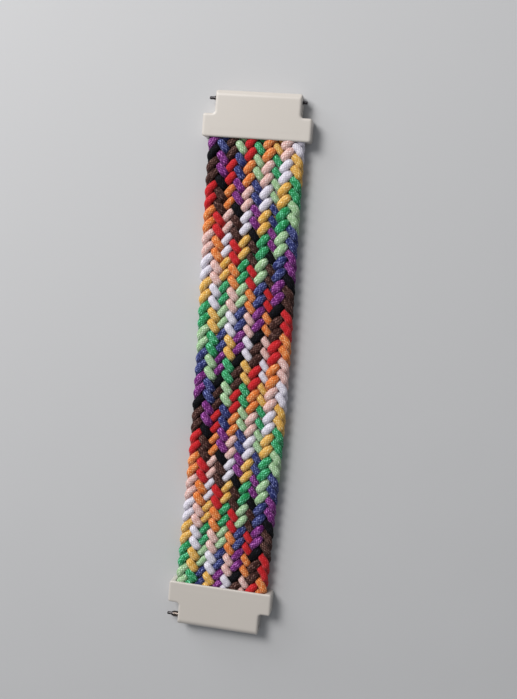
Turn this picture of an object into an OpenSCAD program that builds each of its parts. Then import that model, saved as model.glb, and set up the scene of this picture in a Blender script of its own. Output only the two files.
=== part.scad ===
// Braided elastic watch strap: a flat braid of 21 round cords between two moulded
// lug connectors, each holding a quick-release spring bar in a cross bore.
// The strap lies flat with its length along Y, its width along X and its underside on z = 0.

/* [Strap] */
// Length of the whole strap, between the free ends of its two noses
strap_len = 141.36; // [100:0.02:180]

/* [Braid] */
// Distance between neighbouring crossings, across the strap
cross_gap = 1.18; // [1.14:0.01:1.3]
// Length of braid that one crossing takes, along the strap, before it is rounded to a whole count
cross_len = 1.54; // [1.5:0.01:1.7]
// Width of a cord, seen from above
cord_w = 1.66; // [1.2:0.01:1.8]
// Thickness of a cord
cord_h = 1.78; // [1.2:0.01:1.8]
// Gap between two cords where one passes over the other
cross_clear = 0.06; // [0.02:0.01:0.2]
// How far a cord swings out past its last crossing when it turns at the braid's edge
edge_swing = 0.3; // [0.2:0.05:0.6]
// How far the middle of each row of stitches sags behind its ends
row_sag = 1.9; // [0:0.1:2.5]
// How far the right end of each row runs ahead of its left end
row_slant = 1.2; // [0:0.1:1.5]

/* [Connector] */
// Width of the nose, which fills the gap between the watch's lugs
lug_w = 22; // [18:1:24]
// Length of the nose, along the strap
nose_len = 6; // [5:0.1:8]
// Length of the wings, along the strap
wing_len = 5.85; // [4.5:0.05:8]
// Material between the braid's edge and the wing's side face
side_wall = 1.6; // [1:0.01:3]
// Material above and below the braid inside the socket
socket_skin = 0.38; // [0.3:0.01:1]
// Depth of the socket that holds the braid's end
socket_depth = 2; // [1:0.1:3.5]
// Radius of the connector's upright corners, seen from above
corner_r = 0.75; // [0.4:0.05:1.2]
// Radius along the edges of the top and bottom faces
edge_r = 0.5; // [0.2:0.05:0.8]
// Radius along the free end of the nose
nose_r = 1.5; // [0.8:0.1:1.9]
// Radius of the edge that the braid enters
mouth_r = 0.3; // [0.1:0.05:0.35]
// Distance from the nose's free end to the spring bar's axis
bore_inset = 1.95; // [1.75:0.05:3]

/* [Spring bar] */
// Diameter of the bar's barrel
barrel_d = 1.5; // [1.3:0.05:1.8]
// How much shorter the barrel and its fixed shoulder are than the gap between the lugs
bar_play = 0.1; // [0.05:0.05:0.5]
// How far the bar can slide to either side of the middle of its bore
bar_travel = 1.8; // [1.8:0.1:2.2]
// Wall of the barrel
barrel_wall = 0.15; // [0.12:0.01:0.25]
// Diameter of the tip that goes into the watch's lug
tip_d = 0.78; // [0.6:0.02:0.9]
// Length of the tip
tip_len = 1.2; // [0.8:0.1:1.6]
// Length of the shoulder between the barrel and the fixed tip
shoulder_len = 0.5; // [0.3:0.05:0.8]
// Length of the plunger between the barrel and its tip, before a lug pushes it in
sprung_shoulder = 0.9; // [0.6:0.05:1.2]
// Length of the plunger's body inside the barrel
plunger_in = 6.5; // [5.5:0.1:8]
// Length of the fixed tip's plug inside the barrel
plug_in = 3; // [2:0.1:5]
// Distance from the barrel's end to the release knob
knob_in = 4; // [3:0.1:5]
// Diameter of the knob's stem
stem_d = 0.58; // [0.4:0.02:0.7]
// Diameter of the knob's head
head_d = 1.2; // [0.9:0.05:1.5]
// Depth of the knob's head inside the connector's underside
head_inset = 0.55; // [0.3:0.05:0.8]
// Travel of the release knob
release = 2; // [1.6:0.1:2.2]
// Diameter of the coil spring's wire
wire_d = 0.16; // [0.1:0.02:0.2]
// Number of turns in the coil spring
spring_turns = 13; // [6:1:16]

/* [Fits] */
// Gap between the braid's end and the socket's walls
braid_clear = 0.05; // [0.02:0.01:0.15]
// Radial gap between the barrel and the connector's bore
bore_clear = 0.09; // [0.03:0.01:0.12]
// Radial gap between the plunger and the barrel
slide_clear = 0.05; // [0.02:0.01:0.08]
// Gap round the knob in the window and in the barrel's slot
knob_clear = 0.15; // [0.08:0.01:0.3]
// Radial gap between the fixed plug, or the knob's stem, and its hole
press_clear = 0.01; // [0.005:0.005:0.02]
// How far the upper bar lies off centre, towards its knob
top_bar_shift = 0.4; // [0:0.1:1.8]
// How far the lower bar lies off centre, away from its knob
bottom_bar_shift = 1.8; // [0:0.1:1.8]

/* [Hidden] */
$fn = 64;

// A flat braid of 21 cords has 20 crossing places across it. Each cord steps from one
// place to the next, rests one step at each edge, and is back where it began after 42 steps.
cords = 21;
places = cords - 1;
cycle = 2 * cords;
// Step of the cycle at which the black cord leaves the upper socket
first_step = 36;
conn_len = nose_len + wing_len;
braid_len = strap_len - 2 * (conn_len - socket_depth);
cross_count = round(braid_len / cross_len);
cross_step = braid_len / cross_count;
// Height of a cord's centre above or below the braid's middle where cords cross
wave = (cord_h + cross_clear) / 2;
braid_t = 2 * wave + cord_h;
last_place_x = (places - 1) / 2 * cross_gap;
braid_w = 2 * (last_place_x + edge_swing) + cord_w;
// Length at each end over which sag and slant fade in, so that the ends are cut square
fade_len = 9 * cross_step;
// Mean of the squared place over the columns, so that sag leaves the rows' mean place alone
level_s2 = 0.37;

wing_w = braid_w + 2 * (braid_clear + side_wall);
conn_t = braid_t + 2 * (braid_clear + socket_skin);
mid_z = conn_t / 2;
socket_w = braid_w + 2 * braid_clear;
socket_t = braid_t + 2 * braid_clear;
mouth_y = braid_len / 2 - socket_depth;
over = 1;

barrel_len = lug_w - bar_play - shoulder_len;
bar_len = barrel_len + shoulder_len + sprung_shoulder + 2 * tip_len;
// Ends of the barrel along the bar, whose own middle is halfway between its two tips
barrel_start = tip_len + sprung_shoulder - bar_len / 2;
barrel_end = barrel_start + barrel_len;
barrel_r = barrel_d / 2;
barrel_in_r = barrel_r - barrel_wall;
bore_r = barrel_r + bore_clear;
bore_y = conn_len - bore_inset;
plunger_r = barrel_in_r - slide_clear;
plug_r = barrel_in_r - press_clear;
stem_r = stem_d / 2;
head_r = head_d / 2;
tip_round = tip_d / 4;
knob_x = barrel_start + knob_in;
head_top = barrel_r + knob_clear;
head_h = mid_z - head_top - head_inset;
spring_len = barrel_len - plunger_in - plug_in - 2 * press_clear;
spring_r = plunger_r - wire_d / 2;

ivory = [0.87, 0.84, 0.80];
steel = [0.72, 0.72, 0.74];
dark_steel = [0.45, 0.45, 0.47];
// The cords' colours, in the order in which the stitches follow each other down a column.
// There is one black cord, and two of every other colour.
cord_colors = [
    ["black", [0.11, 0.10, 0.13]],
    ["brown", [0.30, 0.18, 0.18]],
    ["red", [0.75, 0.12, 0.14]],
    ["orange", [0.94, 0.52, 0.24]],
    ["pink", [0.92, 0.77, 0.75]],
    ["white", [0.88, 0.87, 0.92]],
    ["yellow", [0.90, 0.73, 0.32]],
    ["green", [0.16, 0.65, 0.38]],
    ["mint", [0.65, 0.84, 0.65]],
    ["blue", [0.24, 0.30, 0.58]],
    ["purple", [0.49, 0.20, 0.52]]];

// Sweeps a closed polyhedron over rings of points that all have the same count
module skin(rings) {
    sides = len(rings[0]);
    last = len(rings) - 1;
    polyhedron(
        points = [for (ring = rings) for (p = ring) p],
        faces = concat(
            [[for (i = [0 : sides - 1]) i]],
            [for (r = [0 : last - 1]) for (i = [0 : sides - 1]) let (j = (i + 1) % sides)
                [r * sides + i, (r + 1) * sides + i, (r + 1) * sides + j]],
            [for (r = [0 : last - 1]) for (i = [0 : sides - 1]) let (j = (i + 1) % sides)
                [r * sides + i, (r + 1) * sides + j, r * sides + j]],
            [[for (i = [sides - 1 : -1 : 0]) last * sides + i]]),
        convexity = 10);
}

// Place across the braid of a cord at a step of its cycle: to the right, then back
function cord_x(u) =
    u < places ? (u - (places - 1) / 2) * cross_gap :
    u == places ? last_place_x + edge_swing :
    u < cycle - 1 ? (places + (places + 1) / 2 - u) * cross_gap :
    -(last_place_x + edge_swing);

// A cord passes over two and under two, and lies between the layers at each edge
function cord_lift(u) =
    u == places || u == cycle - 1 ? 0 :
    u < places ? (floor(u / 2) % 2 == 1 ? wave : -wave) :
    floor((cycle - 2 - u) / 2) % 2 == 0 ? wave : -wave;

// The rows of stitches are bowed and slanted, except at the ends
function row_shift(x, t) =
    let (s = x / last_place_x, fade = min(1, t * cross_step / fade_len, (cross_count - t) * cross_step / fade_len))
    fade * (row_sag * (s * s - level_s2) + row_slant / 2 * s);

function cord_point(k, t) =
    let (u = (first_step + t - 2 * k + 2 * cycle) % cycle, x = cord_x(u))
    [x, braid_len / 2 - t * cross_step + row_shift(x, t), mid_z + cord_lift(u)];

// Ring of a cord at a step: a square on edge that stands upright and faces along the cord.
// The first and the last ring lie square to the strap.
function cord_ring(k, t) =
    let (p = cord_point(k, t),
        along = cord_point(k, min(t + 1, cross_count)) - cord_point(k, max(t - 1, 0)),
        flat = [along[0], along[1], 0] / norm([along[0], along[1]]),
        side = t == 0 || t == cross_count ? [-1 / flat[1], 0, 0] : [-flat[1], flat[0], 0],
        up = [0, 0, 1])
    [p + side * cord_w / 2, p + up * cord_h / 2, p - side * cord_w / 2, p - up * cord_h / 2];

// Cord of one colour: the first or the second of its pair
module cord(hue, second = false) {
    place = search([hue], cord_colors)[0];
    k = place == 0 ? 0 : 2 * place - (second ? 0 : 1);
    color(cord_colors[place][1])
    skin([for (t = [0 : cross_count]) cord_ring(k, t)]);
}

// Rectangle with its own corner radius at the low and the high end of its first side
module soft_rect(w, h, r_low, r_high) {
    for (y = [r_low, h - r_low]) translate([r_low, y]) circle(r_low);
    for (y = [r_high, h - r_high]) translate([w - r_high, y]) circle(r_high);
    translate([0, r_low]) square([w / 2, h - 2 * r_low]);
    translate([w / 2, r_high]) square([w / 2, h - 2 * r_high]);
    translate([r_low, 0]) square([w / 2 - r_low, h]);
    translate([w / 2, 0]) square([w / 2 - r_high, h]);
}

// Block from y = 0 to len, whose long edges are rounded by edge_r
module soft_block(w, len, r_low, r_high) {
    intersection() {
        translate([-w / 2, 0, 0]) linear_extrude(conn_t) soft_rect(w, len, corner_r, corner_r);
        translate([-w / 2, 0, 0]) rotate([90, 0, 90]) linear_extrude(w) soft_rect(len, conn_t, r_low, r_high);
        translate([-w / 2, len, 0]) rotate([90, 0, 0]) linear_extrude(len) soft_rect(w, conn_t, edge_r, edge_r);
    }
}

// Fillet in the notch between nose and wing, rounded along its top and bottom edges too
module notch_fillet() {
    intersection() {
        translate([lug_w / 2 + corner_r, wing_len + corner_r, 0])
            rotate([0, 0, 180]) rotate_extrude(angle = 90)
            translate([corner_r, 0]) soft_rect(4 * edge_r, conn_t, edge_r, edge_r);
        translate([lug_w / 2 - edge_r, wing_len - edge_r, 0])
            cube([corner_r + edge_r, corner_r + edge_r, conn_t]);
    }
}

// Window in the underside, through which a fingernail pulls the release knob. It is long
// enough for the knob to go with the bar as the bar slides.
module knob_window() {
    reach = head_r + knob_clear;
    low = knob_x - bar_travel;
    high = knob_x + bar_travel + release;
    translate([0, bore_y, -over]) linear_extrude(mid_z + over) {
        for (x = [low, high]) translate([x, 0]) circle(reach);
        translate([low, -reach]) square([high - low, 2 * reach]);
    }
}

// Connector with its mouth at y = 0 and its nose towards +Y
module connector() {
    color(ivory)
    difference() {
        union() {
            soft_block(wing_w, wing_len, mouth_r, edge_r);
            translate([0, mouth_r + corner_r, 0])
                soft_block(lug_w, conn_len - mouth_r - corner_r, mouth_r, nose_r);
            notch_fillet();
            mirror([1, 0, 0]) notch_fillet();
        }
        translate([-socket_w / 2, socket_depth, mid_z - socket_t / 2]) rotate([90, 0, 0])
            linear_extrude(socket_depth + over) soft_rect(socket_w, socket_t, cord_w / 2, cord_w / 2);
        translate([-wing_w / 2, bore_y, mid_z]) rotate([0, 90, 0]) cylinder(r = bore_r, h = wing_w);
        knob_window();
    }
}

// The parts of a spring bar lie along X about the middle between its tips, with the knob at -X
module barrel() {
    color(steel)
    difference() {
        translate([barrel_start, 0, 0]) rotate([0, 90, 0]) cylinder(r = barrel_r, h = barrel_len);
        translate([barrel_start - over, 0, 0]) rotate([0, 90, 0])
            cylinder(r = barrel_in_r, h = barrel_len + 2 * over);
        translate([0, 0, -barrel_d]) linear_extrude(barrel_d) {
            for (x = [knob_x, knob_x + release]) translate([x, 0]) circle(stem_r + slide_clear);
            translate([knob_x, -stem_r - slide_clear]) square([release, stem_d + 2 * slide_clear]);
        }
    }
}

// Turned pin: a body of radius r and its shoulder, then the thin tip, with the tip's end at +X
module turned_pin(r, body_len, shoulder) {
    tip_start = body_len + shoulder;
    full = tip_start + tip_len;
    cone = (r - tip_d / 2) / 2;
    rotate([0, 90, 0]) rotate_extrude() {
        square([r, tip_start - cone]);
        polygon([[0, body_len], [r, body_len], [r, tip_start - cone], [tip_d / 2, tip_start], [0, tip_start]]);
        square([tip_d / 2, full - tip_round]);
        square([tip_d / 2 - tip_round, full]);
        intersection() {
            translate([tip_d / 2 - tip_round, full - tip_round]) circle(tip_round);
            translate([0, body_len]) square([r, full]);
        }
    }
}

module fixed_tip() {
    color(dark_steel)
    translate([barrel_end - plug_in, 0, 0]) turned_pin(plug_r, plug_in, shoulder_len);
}

module plunger() {
    color(dark_steel)
    difference() {
        translate([barrel_start + plunger_in, 0, 0]) mirror([1, 0, 0])
            turned_pin(plunger_r, plunger_in, sprung_shoulder);
        translate([knob_x, 0, -barrel_d]) cylinder(r = stem_r + press_clear, h = barrel_d);
    }
}

// Knob with a stem that is pressed into the plunger and a domed head in the window
module release_knob() {
    dome = head_r / 2;
    color(dark_steel)
    translate([knob_x, 0, 0]) mirror([0, 0, 1]) rotate_extrude() {
        square([stem_r, head_top + head_h / 2]);
        translate([0, head_top]) square([head_r, head_h - dome]);
        translate([0, head_top]) square([head_r - dome, head_h]);
        intersection() {
            translate([head_r - dome, head_top + head_h - dome]) circle(dome);
            square([head_r, head_top + head_h]);
        }
    }
}

// Compression spring between the plunger and the fixed plug, as one swept helix
module coil_spring() {
    steps = 8;
    run = spring_len - wire_d;
    color(steel)
    translate([barrel_start + plunger_in + press_clear + wire_d / 2, 0, 0])
    skin([for (i = [0 : spring_turns * steps]) let (a = 360 * i / steps, x = run * i / (spring_turns * steps))
        [for (q = [45 : 90 : 315]) let (r = spring_r + wire_d / 2 * cos(q))
            [x + wire_d / 2 * sin(q), r * cos(a), r * sin(a)]]]);
}

// Places what belongs to the upper or the lower end of the strap
module upper_end() { translate([0, mouth_y, 0]) children(); }
module lower_end() { rotate([0, 0, 180]) upper_end() children(); }
module upper_bar() { upper_end() translate([-top_bar_shift, bore_y, mid_z]) children(); }
module lower_bar() { lower_end() translate([bottom_bar_shift, bore_y, mid_z]) children(); }

upper_end() connector();  // connector_top
lower_end() connector();  // connector_bottom
cord("black");  // cord_black
cord("brown");  // cord_brown_a
cord("brown", second = true);  // cord_brown_b
cord("red");  // cord_red_a
cord("red", second = true);  // cord_red_b
cord("orange");  // cord_orange_a
cord("orange", second = true);  // cord_orange_b
cord("pink");  // cord_pink_a
cord("pink", second = true);  // cord_pink_b
cord("white");  // cord_white_a
cord("white", second = true);  // cord_white_b
cord("yellow");  // cord_yellow_a
cord("yellow", second = true);  // cord_yellow_b
cord("green");  // cord_green_a
cord("green", second = true);  // cord_green_b
cord("mint");  // cord_mint_a
cord("mint", second = true);  // cord_mint_b
cord("blue");  // cord_blue_a
cord("blue", second = true);  // cord_blue_b
cord("purple");  // cord_purple_a
cord("purple", second = true);  // cord_purple_b
upper_bar() barrel();  // barrel_top
upper_bar() fixed_tip();  // fixed_tip_top
upper_bar() plunger();  // plunger_top
upper_bar() release_knob();  // release_knob_top
upper_bar() coil_spring();  // coil_spring_top
lower_bar() barrel();  // barrel_bottom
lower_bar() fixed_tip();  // fixed_tip_bottom
lower_bar() plunger();  // plunger_bottom
lower_bar() release_knob();  // release_knob_bottom
lower_bar() coil_spring();  // coil_spring_bottom
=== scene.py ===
"""Elastic watch strap: a flat braid of 21 round cords between two moulded connectors.

The strap lies flat, with its length along Y, its width along X and its underside on z = 0.
"""

import math

import bpy
import numpy as np
from bpy.props import FloatProperty, FloatVectorProperty, IntProperty, PointerProperty
from mathutils import Matrix, Vector


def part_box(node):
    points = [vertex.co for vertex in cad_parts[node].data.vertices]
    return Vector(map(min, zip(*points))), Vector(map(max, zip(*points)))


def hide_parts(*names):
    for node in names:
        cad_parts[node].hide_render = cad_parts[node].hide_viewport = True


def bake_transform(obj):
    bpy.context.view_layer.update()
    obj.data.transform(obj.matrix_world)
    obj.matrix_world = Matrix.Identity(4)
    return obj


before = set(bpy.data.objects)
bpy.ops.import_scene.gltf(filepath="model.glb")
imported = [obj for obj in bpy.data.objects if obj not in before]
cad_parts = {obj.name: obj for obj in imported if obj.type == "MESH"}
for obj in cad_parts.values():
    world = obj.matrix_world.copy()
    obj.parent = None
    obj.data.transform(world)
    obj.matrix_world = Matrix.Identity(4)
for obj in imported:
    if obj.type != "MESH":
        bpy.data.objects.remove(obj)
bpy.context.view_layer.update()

bl_info = {
    "name": "Braided Watch Strap",
    "version": (1, 0, 0),
    "blender": (4, 5, 0),
    "location": "View3D > Sidebar > Strap",
    "description": "Makes the braid, the connectors' finish and the spring bars of a watch strap",
    "category": "Add Mesh",
}

# The braid's rule: 21 cords cross at 20 places and come back after 42 steps and 20 floats
CORDS = 21
PLACES = CORDS - 1
CYCLE = 2 * CORDS
FLOATS = CORDS - 1
# Step of the cycle at which the black cord leaves the upper socket, and steps down the whole braid
FIRST_STEP = 36
CROSSINGS = 79
# Steps from a cord's turn at an edge to the middle of its next float
FIRST_MIDDLE = 1.5
# Mean of the squared place over the columns, so that sag leaves the rows' mean place alone
LEVEL_S2 = 0.37
# Power of the place across the braid that levels the rows near their ends
LEVEL_POWER = 8
# Steps at each end of the braid over which sag and slant fade in, and steps that a cord's turn takes
FADE_STEPS = 9
TURN_STEPS = 2
# One over the most that the square of c (1 - c) comes to
BUMP = 16
# Steps from the middle at which the plain floats end and at which the edge begins, each with its fade
PLAIN_REACH, PLAIN_FADE = 7.5, 1.5
EDGE_REACH, EDGE_FADE = 8.8, 1.2
# Wave that lays a float at its angle: its slope along the float, and the share of its second harmonic
WAVE_SLOPE = 1.8
SECOND_WAVE = 0.25
# How much the place across and the place along decide which floats stand out, and the least place across
STAND_ACROSS, STAND_ALONG = 0.8, 0.2
STAND_LEAST = -0.5
# Power of the place along the braid that the bow follows, and power of its half sine
BOW_SKEW, BOW_POWER = 1.3, 1.5

CORD_NODES = ["cord_black"] + [
    f"cord_{colour}_{twin}"
    for colour in ("brown", "red", "orange", "pink", "white", "yellow", "green", "mint", "blue", "purple")
    for twin in "ab"
]
# For each colour, the painted shade between a cord's yarns, as a share of its deeper colour, and how far
# the painted highlight on the yarns' crowns turns to a light tint of it
WEAVE_PAINTED_LIGHT = {
    "black": (0.6, 0.02), "brown": (0.8, 0.24), "red": (0.7, 0.22), "orange": (0.55, 1.0),
    "pink": (0.58, 1.0), "white": (0.74, 0.95), "yellow": (0.55, 1.0), "green": (0.5, 1.0),
    "mint": (0.55, 1.0), "blue": (0.6, 0.75), "purple": (0.6, 0.75),
}
# Filaments across one yarn, and how deep the grooves between them are as a share of the yarn's height
FILAMENTS = 4
RIDGE = 0.16
# Scale of the noise that moves the yarns, powers that flatten a yarn along itself and pick its crown, and
# the power that narrows the painted highlight to the crown's top
YARN_WANDER = 0.7
YARN_FLATNESS = 0.35
CROWN_POWER = 1.35
CREST_POWER = 1.8
# Power that deepens a colour in the painted shade between the yarns, and brightness and power of the
# painted highlight's tint on their crowns
PAINTED_SHADE_POWER = 1.4
TINT, TINT_POWER = 0.95, 0.38
# How much chance adds to a crossing's own colour and to its painted highlight, and how much of each it has
# without
COLOUR_CHANCE, COLOUR_BASE = 0.6, 0.5
TINT_CHANCE, TINT_BASE = 1.3, -0.15
# Height of the yarns, roughness between them, and how much smoother their crowns are
YARN_HEIGHT = 0.00008
SHEATH_ROUGH, CROWN_SMOOTHER = 0.85, 0.15
# Sheen of a white cord, power of a cord's lightness that it follows, and its roughness. Specular level of a
# black cord, what a white one adds to it, and the power that this follows.
SHEEN, SHEEN_POWER, SHEEN_ROUGH = 0.16, 0.5, 0.5
DARK_GLOSS, PALE_GLOSS, GLOSS_POWER = 0.1, 0.2, 0.3

# Coil springs: turns, radius of the wire, share of the length by which the turns close up towards both
# ends, and the mesh's steps
SPRING_TURNS = 13
WIRE_R = 0.00008
END_CLOSING = 0.11
RINGS_TO_A_TURN = 24
WIRE_SIDES = 10

# How much roughness differs over a hard face, and the connectors' thin gloss over their plastic
ROUGH_SPREAD = 0.12
IVORY_COAT, IVORY_COAT_ROUGH = 0.2, 0.4

# Lamps: side, colour and place of each. Both shine at the origin.
KEY_LAMP = (0.31, (1.0, 0.985, 0.96), (-0.31, 0.356, 0.517))
WINDOW_LAMP = (0.4, (0.96, 0.98, 1.0), (-0.5, 0.48, 0.17))
SKY_COLOUR = (0.92, 0.96, 1.0, 1)
FLOOR_REACH = 3.0
# Camera fitted to the corners of both connectors: focal length in pixels of a picture that is 517 wide,
# turn in degrees as an axis times an angle, and place
PICTURE_WIDTH, FOCAL_PIXELS = 517, 900
CAMERA_TURN = (6.21, -9.82, -5.20)
CAMERA_PLACE = (0.0434, 0.0326, 0.2313)
SENSOR_WIDTH = 36.0

# From the CAD: the braid's length, the height of its middle, and where it enters the upper connector
BRAID_LOW, BRAID_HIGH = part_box("cord_black")
BRAID_LEN = BRAID_HIGH.y - BRAID_LOW.y
CONNECTOR_LOW, CONNECTOR_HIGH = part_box("connector_top")
MID_Z = (CONNECTOR_LOW.z + CONNECTOR_HIGH.z) / 2
MOUTH_Y = CONNECTOR_LOW.y


def linear(red, green, blue):
    """Scene linear colour of a colour given in 0 to 255, by the sRGB curve."""
    return tuple(((c / 255 + 0.055) / 1.055) ** 2.4 if c > 10 else c / 3294.6 for c in (red, green, blue))


def length(name, text, default):
    """Property for a length in metres."""
    return FloatProperty(name=name, description=text, default=default, unit="LENGTH", precision=5)


def share(name, text, default, high=1.0):
    """Property for a plain number from 0 to high."""
    return FloatProperty(name=name, description=text, default=default, min=0.0, max=high)


def power(name, text, default):
    """Property for a lamp's power in watts."""
    return FloatProperty(name=name, description=text, default=default, min=0.0, unit="POWER")


def colour(name, text, *rgb):
    """Property for a colour, whose default is given in 0 to 255."""
    return FloatVectorProperty(
        name=name, description=text, default=linear(*rgb), subtype="COLOR", size=3, min=0, max=1)


class BraidSizes(bpy.types.PropertyGroup):
    """Sizes of the braid."""

    gap: length("Crossing gap", "Distance between neighbouring crossings, across the strap", 0.00118)
    swing: length("Edge swing", "How far a cord swings out past its last crossing", 0.00026)
    wave: length(
        "Wave", "Height of a cord's centre above the braid's middle, halfway along a float", 0.00098)
    float_w: length("Float width", "Width of a cord where it floats over two others", 0.00196)
    float_h: length("Float thickness", "Thickness of a cord where it floats", 0.0017)
    neck_w: length("Neck width", "Width of a cord where it dives between two others", 0.00164)
    neck_h: length("Neck thickness", "Thickness of a cord where it dives between two others", 0.00145)
    edge_w: length("Edge width", "Width of a cord where it turns at the braid's edge", 0.0018)
    bow: length("Bow", "How far the braid bows to the right between its two connectors", 0.00098)
    sag: length("Row sag", "How far the middle of each row sags behind its ends", 0.0019)
    level_ends: share("Level ends", "How much less a row sags near its two ends", 0.26)
    slant: length("Row slant", "How far the right end of each row runs ahead of its left end", 0.0012)
    float_angle: FloatProperty(
        name="Float angle", description="Angle of a float to the braid's width",
        default=math.radians(51.5), subtype="ANGLE")
    bulge: length(
        "Edge bulge", "How far a cord stands outside a plain turn, one step from the edge", 0.00025)
    dwell: share("Dwell", "Share of a cord's swing for which it stays level between two floats", 0.12)
    rise: share("Rise", "Share of a cord's swing that it takes to rise to a float's full height", 0.7)
    bluntness: share(
        "Bluntness", "Power of the height that a float's width follows: low is blunt", 0.55, 3)
    taper: share(
        "Taper", "How much longer floats of one lean are than the others, at the braid's sides", 1.2, 4)
    wander: length("Wander", "How far a float may lie from its even place", 0.00009)
    uneven: share("Uneven widths", "How much the floats' widths differ", 0.05)
    relief: length(
        "Relief", "How far floats of one lean stand above the others, at the braid's sides", 0.0005)
    plump: share(
        "Plump", "How much wider floats of one lean are than the others, at the braid's sides", 0.2)
    samples: IntProperty(name="Samples", description="Rings to each crossing", default=12, min=4)
    sides: IntProperty(name="Sides", description="Points round a cord", default=24, min=8)


class CordFinish(bpy.types.PropertyGroup):
    """Colours and weave of the cords' sheaths."""

    black: colour("Black", "Colour of the black cord", 6, 6, 16)
    brown: colour("Brown", "Colour of the brown cords", 74, 38, 31)
    red: colour("Red", "Colour of the red cords", 216, 24, 36)
    orange: colour("Orange", "Colour of the orange cords", 255, 152, 68)
    pink: colour("Pink", "Colour of the pink cords", 251, 210, 203)
    white: colour("White", "Colour of the white cords", 234, 229, 241)
    yellow: colour("Yellow", "Colour of the yellow cords", 254, 203, 101)
    green: colour("Green", "Colour of the green cords", 44, 180, 112)
    mint: colour("Mint", "Colour of the light green cords", 189, 226, 178)
    blue: colour("Blue", "Colour of the blue cords", 50, 60, 132)
    purple: colour("Purple", "Colour of the purple cords", 134, 36, 138)
    helices: IntProperty(
        name="Helices", description="Yarns that wind each way round a cord", default=9, min=4)
    weave: length("Weave", "Length of cord that one yarn crossing takes", 0.0007)


class HardFinish(bpy.types.PropertyGroup):
    """Finish of the connectors, the spring bars and the floor, and the light on them."""

    ivory: colour("Ivory", "Colour of the connectors", 196, 189, 182)
    ivory_rough: share("Ivory roughness", "Roughness of the connectors", 0.38)
    # Both steels are darker and browner than bare steel: the metal's tint plus a painted reflection of dark
    # surroundings
    steel: colour("Steel", "Colour of the barrels", 112, 103, 98)
    dark_steel: colour("Dark steel", "Colour of the tips and knobs", 76, 73, 75)
    floor: colour("Floor", "Colour of the floor", 189, 189, 191)
    key_power: power("Key light", "Power of the key light", 4.3)
    window_power: power("Window", "Power of the low light from the left", 2.25)
    sky: share("Sky", "Strength of the even light from all round", 0.27, 4)


def grid_faces(rings, sides):
    """Quads between neighbouring rings of a tube, with the faces outwards, as an array of corners."""
    ring, side = np.meshgrid(np.arange(rings - 1), np.arange(sides), indexing="ij")
    after = (side + 1) % sides
    low, high = ring * sides, (ring + 1) * sides
    return np.stack((low + side, high + side, high + after, low + after), -1).reshape(-1, 4)


def make_mesh(name, points, quads, tris, maps):
    """Mesh object from arrays of points, quads and triangles. maps gives a UV array for each map's name."""
    mesh = bpy.data.meshes.new(name)
    mesh.vertices.add(len(points))
    mesh.vertices.foreach_set("co", points.astype(np.float32).ravel())
    loops = np.concatenate((quads.ravel(), tris.ravel()))
    totals = np.concatenate((np.full(len(quads), 4), np.full(len(tris), 3)))
    mesh.loops.add(len(loops))
    mesh.loops.foreach_set("vertex_index", loops.astype(np.int32))
    mesh.polygons.add(len(totals))
    mesh.polygons.foreach_set("loop_start", (np.cumsum(totals) - totals).astype(np.int32))
    mesh.polygons.foreach_set("use_smooth", totals == 4)
    mesh.update(calc_edges=True)
    for title, uv in maps.items():
        layer = mesh.uv_layers.new(name=title, do_init=False)
        layer.uv.foreach_set("vector", uv.astype(np.float32).ravel())
    mesh.validate()
    piece = bpy.data.objects.new(name, mesh)
    bpy.context.scene.collection.objects.link(piece)
    return piece


def quad_corners(left, right, low, high):
    """Each quad's four corners in a map, in the order of grid_faces."""
    spots = (left, low), (right, low), (right, high), (left, high)
    return np.stack([np.stack(spot, 1) for spot in spots], 1)


def tube_maps(run, sides, rows):
    """Two maps of a tube's corners, for its quads and then for the triangles of its caps.

    Sheath holds the length run along the path, in millimetres, and the turns round it. OFBake lays the
    tube out in rows of equal length, one above the other, and the caps in a strip over them.
    """
    here = np.arange(sides)
    ring, j = (a.ravel() for a in np.meshgrid(np.arange(len(run) - 1), here, indexing="ij"))
    sheath = quad_corners(run[ring], run[ring + 1], j / sides, (j + 1) / sides)

    # Free share above and below a row and at its two ends, height of the caps' strip in rows, and on that
    # strip a cap's length and the heights of its rim and its hub
    above, beside, strip = 0.04, 0.005, 0.3
    reach, rim_up, hub_up = 0.2, 0.1, 0.25
    per_row = -(-(len(run) - 1) // rows)
    row, place = ring // per_row, ring % per_row
    low, high = ((row + above + (1 - 2 * above) * k / sides) / (rows + strip) for k in (j, j + 1))
    left, right = (beside + (1 - 2 * beside) * k / per_row for k in (place, place + 1))
    laid = quad_corners(left, right, low, high)

    def fan(start, order):
        """A cap's triangles side by side: each has the hub above and two points of the rim below."""
        hub, *rim = (
            np.stack((start + reach * (here + k) / sides, np.full(sides, (rows + up) / (rows + strip))), 1)
            for k, up in ((0.5, hub_up), (0, rim_up), (1, rim_up)))
        return np.stack((hub, *rim[::order]), 1)

    caps = np.concatenate((fan(start=0.25, order=1), fan(start=0.75, order=-1)))
    cap_run = np.concatenate((np.full((sides, 3), run[0]), np.full((sides, 3), run[-1])))
    cap_sheath = np.stack((cap_run, caps[..., 0]), -1)
    return {
        "Sheath": np.concatenate((sheath.reshape(-1, 2), cap_sheath.reshape(-1, 2))),
        "OFBake": np.concatenate((laid.reshape(-1, 2), caps.reshape(-1, 2))),
    }


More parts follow.
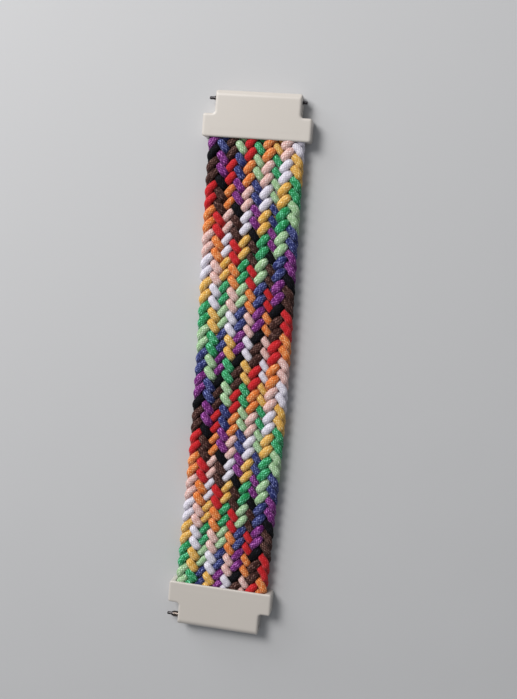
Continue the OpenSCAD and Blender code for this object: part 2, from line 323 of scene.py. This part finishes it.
def tube(name, path, half_w, half_h, sides, rows):
    """Tube along a path, closed by a fan of triangles at each end. Each ring is an ellipse, half_w wide to
    each side of the path and half_h high, square to the path's direction, and its first point lies level
    with the path.
    """
    rings = len(path)
    along = np.gradient(path, axis=0)
    along /= np.linalg.norm(along, axis=1)[:, None]
    side = np.cross(along, (0.0, 0.0, 1.0))
    side /= np.linalg.norm(side, axis=1)[:, None]
    up = np.cross(side, along)
    angle = 2 * np.pi * (np.arange(sides)[:, None] / sides)
    across = half_w[:, None, None] * side[:, None] * np.cos(angle)
    upwards = half_h[:, None, None] * up[:, None] * np.sin(angle)
    points = np.concatenate(((path[:, None] + across + upwards).reshape(-1, 3), path[:1], path[-1:]))

    here, after = np.arange(sides), (np.arange(sides) + 1) % sides
    last = (rings - 1) * sides
    first_cap = np.stack((np.full(sides, rings * sides), here, after), 1)
    last_cap = np.stack((np.full(sides, rings * sides + 1), last + after, last + here), 1)
    run = np.concatenate(((0,), np.cumsum(np.linalg.norm(np.diff(path, axis=0), axis=1)))) * 1000
    caps = np.concatenate((first_cap, last_cap))
    return make_mesh(name, points, grid_faces(rings, sides), caps, tube_maps(run, sides, rows))


def ease(x):
    """Smooth step from 0 to 1."""
    x = np.clip(x, 0, 1)
    return x * x * (3 - 2 * x)


def cord_route(number, sizes):
    """Centre line of a cord, and its half width and half thickness.

    Across: a zigzag between the braid's edges, one crossing gap to a step, whose turns are cubics over
    the last two steps, with a bulge of the square of c (1 - c). Along: even steps, shifted by the rows'
    sag, which is the square of the place across less its eighth power, by their slant, and by a small
    wave that lays each float at the float angle. Height: a smooth step of a cosine with one half period
    to each float of two crossings, level for a while between two floats and drawn out over three steps
    at an edge. Floats of one lean stand higher, longer and wider than the others, by a share that grows
    across the braid and a little along it. Each float differs a little from the next in height, width
    and place. The whole braid bows to the right, by a power of half a sine whose top lies a little below
    the middle.
    """
    t = np.linspace(0, CROSSINGS, CROSSINGS * sizes.samples + 1)
    step = BRAID_LEN / CROSSINGS
    # Steps since the cord's turn at the left edge. It turns at the right edge after 21 of them.
    rounds, v = np.divmod(FIRST_STEP + t - 2 * number + 1, CYCLE)
    going_right = v < CORDS
    fold = CORDS - np.abs(v - CORDS)
    middle = (PLACES + 1) / 2
    out = np.abs(fold - middle)
    last = (PLACES - 1) / 2 * sizes.gap
    straight = (middle - TURN_STEPS) * sizes.gap
    c = np.clip((out - middle) / TURN_STEPS + 1, 0, 1)
    leaving, arriving = 2 * c**3 - 3 * c**2 + 1, 3 * c**2 - 2 * c**3
    turn = straight * leaving + TURN_STEPS * sizes.gap * (c**3 - 2 * c**2 + c)
    turn += (last + sizes.swing) * arriving
    turn += BUMP * sizes.bulge * (c * (1 - c)) ** 2
    x = np.sign(fold - middle) * np.where(c > 0, turn, out * sizes.gap)

    # Floats are counted from the left edge: even ones lie under, odd ones over
    rightwards, leftwards = np.arange(FIRST_MIDDLE, CORDS, 2), np.arange(CORDS + FIRST_MIDDLE, CYCLE, 2)
    middles = np.concatenate(((-FIRST_MIDDLE,), rightwards, leftwards, (CYCLE + FIRST_MIDDLE,)))
    count = np.interp(v, middles, np.arange(-1, len(middles) - 1))
    part = count - np.floor(count)
    phase = np.pi * (np.floor(count) + np.where(out > middle - FIRST_MIDDLE, ease(part), part))

    s = x / last
    fade = np.clip(np.minimum(t, CROSSINGS - t) / FADE_STEPS, 0, 1)
    row = s**2 - sizes.level_ends * s**LEVEL_POWER - LEVEL_S2
    bend = 2 * s - LEVEL_POWER * sizes.level_ends * s ** (LEVEL_POWER - 1)
    shift = fade * (sizes.sag * row + sizes.slant / 2 * s)
    slope = fade * (sizes.sag * bend + sizes.slant / 2) / last
    drift = slope * sizes.gap * np.where(going_right, 1, -1)
    inside = 1 - ease((out - PLAIN_REACH) / PLAIN_FADE)
    at_edge = ease((out - EDGE_REACH) / EDGE_FADE)
    lean = inside * (step - drift - sizes.gap * math.tan(sizes.float_angle)) / WAVE_SLOPE
    y = BRAID_LEN / 2 - t * step + shift + lean * (np.sin(2 * phase) - SECOND_WAVE * np.sin(4 * phase))

    # Floats that run down to the left stand out on the right side, and the others on the left side
    stand = STAND_ACROSS * s.clip(STAND_LEAST, 1) + STAND_ALONG * y / (BRAID_LEN / 2)
    stand *= np.where(going_right, -1, 1) * inside
    arch = -np.cos(phase)
    dwell = sizes.dwell * (1 - sizes.taper * stand) * (1 - at_edge)
    rise = sizes.rise + (1 - sizes.rise) * at_edge
    lift = np.sign(arch) * ease((np.abs(arch) - dwell) / rise)
    full = np.abs(lift) ** sizes.bluntness
    # Every float has its own chance values, which fade out towards its two dives
    which = (np.floor(count + 0.5) + FLOATS * (rounds - rounds.min())).astype(int)
    chances = np.random.default_rng(number).uniform(-1, 1, (4, which.max() + 1))
    higher, wider, right, ahead = chances[:, which] * full

    z = MID_Z + lift * (sizes.wave + sizes.wander * higher / 2) + sizes.relief * stand * lift.clip(0, 1)
    neck = sizes.neck_w + (sizes.edge_w - sizes.neck_w) * at_edge
    float_w = sizes.float_w * (1 + sizes.plump * stand + sizes.uneven * wider)
    half_w = (neck + (float_w - neck) * full) / 2
    half_h = (sizes.neck_h + (sizes.float_h - sizes.neck_h) * full) / 2
    down = np.clip(0.5 - y / (2 * MOUTH_Y), 0, 1)
    x += sizes.bow * np.sin(np.pi * down**BOW_SKEW) ** BOW_POWER + sizes.wander * right * inside
    y += sizes.wander * ahead * inside
    return np.stack((x, y, z), 1), half_w, half_h


def add(tree, kind, inputs=(), **settings):
    """Node of a kind, with its settings and its inputs set to values or linked to sockets."""
    node = tree.nodes.new(kind)
    for key, value in settings.items():
        setattr(node, key, value)
    for key, value in dict(inputs).items():
        if isinstance(value, bpy.types.NodeSocket):
            tree.links.new(value, node.inputs[key])
        else:
            node.inputs[key].default_value = value
    return node


def maths(tree, operation, *values):
    """Output of a Math node."""
    return add(tree, "ShaderNodeMath", enumerate(values), operation=operation).outputs[0]


def mix(tree, share_of_b, a, b):
    """Colour a turned into colour b by a share from 0 to 1."""
    node = add(tree, "ShaderNodeMix", data_type="RGBA")
    for key, value in (("Factor_Float", share_of_b), ("A_Color", a), ("B_Color", b)):
        socket = next(s for s in node.inputs if s.identifier == key)
        if isinstance(value, bpy.types.NodeSocket):
            tree.links.new(value, socket)
        else:
            socket.default_value = value
    return next(s for s in node.outputs if s.identifier == "Result_Color")


def new_group(name, inputs, outputs):
    """Empty node group. inputs gives each input's default, and outputs lists its values' names."""
    group = bpy.data.node_groups.new(name, "ShaderNodeTree")
    for title, default in inputs.items():
        socket = group.interface.new_socket(title, in_out="INPUT", socket_type="NodeSocketFloat")
        socket.default_value = default
    for title in outputs:
        group.interface.new_socket(title, in_out="OUTPUT", socket_type="NodeSocketFloat")
    return group, group.nodes.new("NodeGroupInput"), group.nodes.new("NodeGroupOutput")


def shared_group(name, maker):
    """The node group of that name, made when it is first asked for."""
    return bpy.data.node_groups.get(name) or maker()


def sheath_weave():
    """Yarns of a round sheath, which wind both ways and pass over and under each other.

    Each winding's count is one number, and the whole part of both tells which yarn is on top. A yarn's
    height is the sine across it, flattened along it, and its filaments run along it as fine ridges. Soft
    noise lets the yarns wander a little. Crown is a power of the height, and Chance is one value to each
    crossing of two yarns.
    """
    group, given, out = new_group(
        "Sheath Weave", {"Along": 0.0, "Around": 0.0, "Helices": 12.0, "Pitch": 0.5},
        ("Height", "Crown", "Chance"))
    along, around, helices, pitch = (given.outputs[key] for key in ("Along", "Around", "Helices", "Pitch"))
    spot = add(group, "ShaderNodeCombineXYZ", {0: along, 1: around}).outputs[0]
    wander = add(
        group, "ShaderNodeTexNoise", {"Vector": spot, "Scale": YARN_WANDER, "Detail": 0.0},
        noise_dimensions="2D")
    slips = add(group, "ShaderNodeSeparateColor", {0: wander.outputs["Color"]}).outputs
    turns = maths(group, "MULTIPLY_ADD", around, helices, slips[0])
    run = maths(group, "ADD", maths(group, "DIVIDE", along, pitch), slips[1])
    a, b = maths(group, "ADD", turns, run), maths(group, "SUBTRACT", turns, run)
    whole_a, whole_b = maths(group, "FLOOR", a), maths(group, "FLOOR", b)
    part_a, part_b = maths(group, "FRACT", a), maths(group, "FRACT", b)
    arch_a = maths(group, "SINE", maths(group, "MULTIPLY", part_a, math.pi))
    arch_b = maths(group, "SINE", maths(group, "MULTIPLY", part_b, math.pi))
    parity = maths(group, "FLOORED_MODULO", maths(group, "ADD", whole_a, whole_b), 2.0)
    flat_a, flat_b = (maths(group, "POWER", arch, YARN_FLATNESS) for arch in (arch_a, arch_b))
    over_a = maths(group, "MULTIPLY", arch_a, flat_b)
    over_b = maths(group, "MULTIPLY", arch_b, flat_a)
    height = maths(group, "MULTIPLY_ADD", maths(group, "SUBTRACT", over_a, over_b), parity, over_b)
    across = maths(group, "MULTIPLY_ADD", maths(group, "SUBTRACT", part_a, part_b), parity, part_b)
    ridges = maths(group, "SINE", maths(group, "MULTIPLY", across, FILAMENTS * 2 * math.pi))
    height = maths(group, "MULTIPLY", height, maths(group, "MULTIPLY_ADD", ridges, RIDGE, 1 - RIDGE / 2))
    place = add(group, "ShaderNodeCombineXYZ", {
        0: maths(group, "SUBTRACT", whole_a, whole_b),
        1: maths(group, "FLOORED_MODULO", whole_a, helices)}).outputs[0]
    chance = add(group, "ShaderNodeTexWhiteNoise", {"Vector": place}, noise_dimensions="2D")
    group.links.new(height, out.inputs["Height"])
    group.links.new(maths(group, "POWER", height, CROWN_POWER), out.inputs["Crown"])
    group.links.new(chance.outputs["Value"], out.inputs["Chance"])
    return group


def fine_grain():
    """Soft unevenness of a moulded, drawn or cast face, as a height and as patches."""
    group, given, out = new_group(
        "Fine Grain", {"Grain Scale": 4000.0, "Patch Scale": 60.0, "Stretch": 1.0}, ("Height", "Patches"))
    here = add(group, "ShaderNodeTexCoord").outputs["Object"]
    stretch = add(group, "ShaderNodeCombineXYZ", {0: given.outputs["Stretch"], 1: 1.0, 2: 1.0}).outputs[0]
    turned = add(group, "ShaderNodeVectorMath", {0: here, 1: stretch}, operation="MULTIPLY").outputs[0]
    for vector, scale, detail, title in (
        (turned, "Grain Scale", 3.0, "Height"),
        (here, "Patch Scale", 2.0, "Patches"),
    ):
        noise = add(group, "ShaderNodeTexNoise", {
            "Vector": vector, "Scale": given.outputs[scale], "Detail": detail})
        group.links.new(noise.outputs[0], out.inputs[title])
    return group


def new_material(name, **shader):
    """Material with a Principled shader whose named sockets hold the given plain values."""
    material = bpy.data.materials.new(name)
    material.use_nodes = True
    principled = material.node_tree.nodes["Principled BSDF"]
    for key, value in shader.items():
        principled.inputs[key.replace("_", " ")].default_value = value
    return material, material.node_tree, principled


def cord_material(name, hue, painted_light, finish, weave_group):
    """Woven polyester sheath. Its colour goes from a painted shade, dark and saturated, between the yarns
    to the cord's own on them, and from there to a painted highlight, a pale tint, on their crowns, at each
    crossing of two yarns by its chance value.
    """
    lightness = max(hue)
    material, tree, principled = new_material(
        name, Sheen_Weight=SHEEN * lightness**SHEEN_POWER, Sheen_Roughness=SHEEN_ROUGH,
        Specular_IOR_Level=DARK_GLOSS + PALE_GLOSS * lightness**GLOSS_POWER)
    uv = add(tree, "ShaderNodeUVMap", uv_map="Sheath").outputs[0]
    split = add(tree, "ShaderNodeSeparateXYZ", {0: uv}).outputs
    weave = add(tree, "ShaderNodeGroup", node_tree=weave_group)
    weave.inputs["Helices"].default_value = finish.helices
    weave.inputs["Pitch"].default_value = finish.weave * 1000
    tree.links.new(split[0], weave.inputs["Along"])
    tree.links.new(split[1], weave.inputs["Around"])
    hue = np.array(hue)
    # Share of painted shade between the yarns, and how far the painted highlight on their crowns turns to a
    # pale tint
    dark, highlight_share = painted_light
    painted_shade_colour = (*(hue**PAINTED_SHADE_POWER * dark), 1)
    tint = TINT * (hue / lightness) ** TINT_POWER
    pale = (*(hue + (tint - hue) * highlight_share), 1)
    # body turns from the painted shade to the cord's own colour, and lit puts the painted highlight on the
    # crowns
    crown, chance = weave.outputs["Crown"], weave.outputs["Chance"]
    plain = maths(tree, "MULTIPLY_ADD", chance, COLOUR_CHANCE, COLOUR_BASE)
    body = mix(tree, maths(tree, "MULTIPLY", crown, plain), painted_shade_colour, (*hue, 1))
    bright = maths(tree, "MULTIPLY_ADD", chance, TINT_CHANCE, TINT_BASE)
    lit = maths(tree, "MULTIPLY", maths(tree, "POWER", crown, CREST_POWER), bright)
    tree.links.new(mix(tree, lit, body, pale), principled.inputs["Base Color"])
    rough = maths(tree, "MULTIPLY_ADD", crown, -CROWN_SMOOTHER, SHEATH_ROUGH)
    tree.links.new(rough, principled.inputs["Roughness"])
    bump = add(tree, "ShaderNodeBump", {
        "Height": weave.outputs["Height"], "Distance": YARN_HEIGHT, "Strength": 1.0})
    tree.links.new(bump.outputs[0], principled.inputs["Normal"])
    return material


def hard_material(
    name, hue, *, rough, scale, depth, metallic=0.0, stretch=1.0, shade=0.04, soft=0.0, **shader
):
    """Moulded plastic, metal or paper: one colour with faint patches, and a fine grain in the surface.

    scale, depth and stretch are the grain's, shade is how much the patches differ, and soft is the radius
    to which the edges look rounded.
    """
    material, tree, principled = new_material(name, Metallic=metallic, **shader)
    grain = shared_group("Fine Grain", fine_grain)
    group = add(tree, "ShaderNodeGroup", {"Grain Scale": scale, "Stretch": stretch}, node_tree=grain)
    hue = np.array(hue)
    patches = group.outputs["Patches"]
    darker, paler = (*(hue * (1 - shade)), 1), (*(hue * (1 + shade)).clip(0, 1), 1)
    tree.links.new(mix(tree, patches, darker, paler), principled.inputs["Base Color"])
    differing = maths(tree, "MULTIPLY_ADD", patches, ROUGH_SPREAD, rough - ROUGH_SPREAD / 2)
    tree.links.new(differing, principled.inputs["Roughness"])
    bump = add(tree, "ShaderNodeBump", {
        "Height": group.outputs["Height"], "Distance": depth, "Strength": 1.0})
    if soft:
        rounded = add(tree, "ShaderNodeBevel", {"Radius": soft}, samples=8)
        tree.links.new(rounded.outputs[0], bump.inputs["Normal"])
    tree.links.new(bump.outputs[0], principled.inputs["Normal"])
    return material


def dress(node, material):
    """Gives a CAD node one material."""
    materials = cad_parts[node].data.materials
    materials.clear()
    materials.append(material)


class STRAP_OT_braid(bpy.types.Operator):
    """Makes the 21 cords of the braid"""

    bl_idname = "strap.braid"
    bl_label = "Make Braid"

    def execute(self, context):
        sizes, finish = context.scene.strap_braid, context.scene.strap_cords
        weave_group = shared_group("Sheath Weave", sheath_weave)
        materials = {}
        for number, node in enumerate(CORD_NODES):
            hue = node.split("_")[1]
            if hue not in materials:
                materials[hue] = cord_material(
                    f"{hue} sheath", getattr(finish, hue), WEAVE_PAINTED_LIGHT[hue], finish, weave_group)
            path, half_w, half_h = cord_route(number, sizes)
            cord = tube(f"braided_{node}", path, half_w, half_h, sizes.sides, rows=6)
            cord.data.materials.append(materials[hue])
            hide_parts(node)
            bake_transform(cord)
        return {"FINISHED"}


class STRAP_OT_connectors(bpy.types.Operator):
    """Gives the two connectors their moulded finish"""

    bl_idname = "strap.connectors"
    bl_label = "Finish Connectors"

    def execute(self, context):
        finish = context.scene.strap_hard
        ivory = hard_material(
            "ivory plastic", finish.ivory, rough=finish.ivory_rough, scale=5000, depth=0.000006,
            shade=0.015, soft=0.0007, Coat_Weight=IVORY_COAT, Coat_Roughness=IVORY_COAT_ROUGH)
        for node in ("connector_top", "connector_bottom"):
            dress(node, ivory)
        return {"FINISHED"}


class STRAP_OT_spring_bars(bpy.types.Operator):
    """Gives the spring bars their steels and winds their coil springs"""

    bl_idname = "strap.spring_bars"
    bl_label = "Make Spring Bars"

    def execute(self, context):
        finish = context.scene.strap_hard
        lathe_lines = {"metallic": 1.0, "scale": 900, "depth": 0.000004, "stretch": 30.0}
        # The steels' colours hold the metal's own tint and a painted dark reflection
        steel = hard_material("drawn steel", finish.steel, rough=0.24, **lathe_lines)
        dark = hard_material("turned steel", finish.dark_steel, rough=0.22, **lathe_lines)
        wire = hard_material(
            "spring wire", finish.steel, rough=0.25, metallic=1.0, scale=3000, depth=0.000002)
        for end in ("top", "bottom"):
            dress(f"barrel_{end}", steel)
            for piece in ("fixed_tip", "plunger", "release_knob"):
                dress(f"{piece}_{end}", dark)
            node = f"coil_spring_{end}"
            low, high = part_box(node)
            # The moving end lies towards the plunger: at the upper bar's left end, the lower bar's right
            spring = self.wind(node, low, high)
            spring.data.materials.append(wire)
            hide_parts(node)
            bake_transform(spring)
        return {"FINISHED"}

    def wind(self, node, low, high):
        """Round wire on a helix that fills the box. Along the box it runs on evenly less a sine, so that
        its turns lie close at both ends and open between them.
        """
        radius = (high.z - low.z) / 2 - WIRE_R
        a = np.linspace(0, 1, SPRING_TURNS * RINGS_TO_A_TURN + 1)
        centre = (low + high) / 2
        x = low.x + WIRE_R + (high.x - low.x - 2 * WIRE_R) * (a - END_CLOSING * np.sin(2 * np.pi * a))
        angle = 2 * np.pi * SPRING_TURNS * a
        path = np.stack((x, centre.y + radius * np.cos(angle), centre.z + radius * np.sin(angle)), 1)
        along = np.gradient(path, axis=0)
        along /= np.linalg.norm(along, axis=1)[:, None]
        out = np.stack((np.zeros_like(a), np.cos(angle), np.sin(angle)), 1)
        side = np.cross(along, out)
        ring = 2 * np.pi * np.arange(WIRE_SIDES)[:, None] / WIRE_SIDES
        points = path[:, None] - WIRE_R * (side[:, None] * np.sin(ring) - out[:, None] * np.cos(ring))
        last = WIRE_SIDES * (len(path) - 1)
        fan = range(1, WIRE_SIDES - 1)
        caps = np.array([[0, j, j + 1] for j in fan] + [[last, last + j + 1, last + j] for j in fan])
        quads = grid_faces(len(path), WIRE_SIDES)
        return make_mesh(f"wound_{node}", points.reshape(-1, 3), quads, caps, {})


class STRAP_OT_stage(bpy.types.Operator):
    """Sets the floor, the lights and the camera"""

    bl_idname = "strap.stage"
    bl_label = "Set Stage"

    def execute(self, context):
        scene, finish = context.scene, context.scene.strap_hard
        corners = FLOOR_REACH * np.array(((-1, -1, 0), (1, -1, 0), (1, 1, 0), (-1, 1, 0)))
        floor = make_mesh("floor", corners, np.array(((0, 1, 2, 3),)), np.empty((0, 3), int), {})
        floor.data.materials.append(
            hard_material("pale paper", finish.floor, rough=0.75, scale=1500, depth=0.00001, shade=0.01))

        world = bpy.data.worlds.new("studio")
        world.use_nodes = True
        background = world.node_tree.nodes["Background"]
        background.inputs["Color"].default_value = SKY_COLOUR
        background.inputs["Strength"].default_value = finish.sky
        scene.world = world

        self.shine(scene, "key", finish.key_power, *KEY_LAMP)
        self.shine(scene, "window", finish.window_power, *WINDOW_LAMP)

        lens = bpy.data.cameras.new("camera")
        lens.sensor_fit, lens.sensor_width = "HORIZONTAL", SENSOR_WIDTH
        lens.lens = FOCAL_PIXELS * lens.sensor_width / PICTURE_WIDTH
        lens.clip_start, lens.clip_end = 0.01, 20
        turn = Vector([math.radians(a) for a in CAMERA_TURN])
        view = Matrix.Rotation(turn.length, 3, turn.normalized())
        camera = bpy.data.objects.new("camera", lens)
        camera.matrix_world = Matrix.Translation(CAMERA_PLACE) @ view.transposed().to_4x4()
        scene.collection.objects.link(camera)
        scene.camera = camera
        scene.view_settings.view_transform = "Standard"
        return {"FINISHED"}

    def shine(self, scene, name, energy, size, tone, place):
        """Square lamp that faces the origin."""
        lamp = bpy.data.lights.new(name, "AREA")
        lamp.energy, lamp.size, lamp.color = energy, size, tone
        light = bpy.data.objects.new(name, lamp)
        place = Vector(place)
        facing = (-place).to_track_quat("-Z", "Y").to_matrix().to_4x4()
        light.matrix_world = Matrix.Translation(place) @ facing
        scene.collection.objects.link(light)


class STRAP_PT_panel(bpy.types.Panel):
    """Lists the strap's makers and their values"""

    bl_label = "Braided Strap"
    bl_idname = "STRAP_PT_panel"
    bl_space_type = "VIEW_3D"
    bl_region_type = "UI"
    bl_category = "Strap"

    def draw(self, context):
        layout, scene = self.layout, context.scene
        for group, operators in (
            (scene.strap_braid, ("strap.braid",)),
            (scene.strap_cords, ()),
            (scene.strap_hard, ("strap.connectors", "strap.spring_bars", "strap.stage")),
        ):
            box = layout.box()
            for key in group.bl_rna.properties.keys():
                if key not in ("rna_type", "name"):
                    box.prop(group, key)
            for operator in operators:
                box.operator(operator)


CLASSES = (
    BraidSizes, CordFinish, HardFinish,
    STRAP_OT_braid, STRAP_OT_connectors, STRAP_OT_spring_bars, STRAP_OT_stage, STRAP_PT_panel,
)


def register():
    """Registers the classes and gives the scene their values."""
    for cls in CLASSES:
        bpy.utils.register_class(cls)
    bpy.types.Scene.strap_braid = PointerProperty(type=BraidSizes)
    bpy.types.Scene.strap_cords = PointerProperty(type=CordFinish)
    bpy.types.Scene.strap_hard = PointerProperty(type=HardFinish)


def unregister():
    """Undoes register."""
    del bpy.types.Scene.strap_braid, bpy.types.Scene.strap_cords, bpy.types.Scene.strap_hard
    for cls in reversed(CLASSES):
        bpy.utils.unregister_class(cls)


def main():
    """Makes every piece in order."""
    register()
    bpy.ops.strap.stage()
    bpy.ops.strap.connectors()
    bpy.ops.strap.spring_bars()
    bpy.ops.strap.braid()


if __name__ == "__main__":
    main()
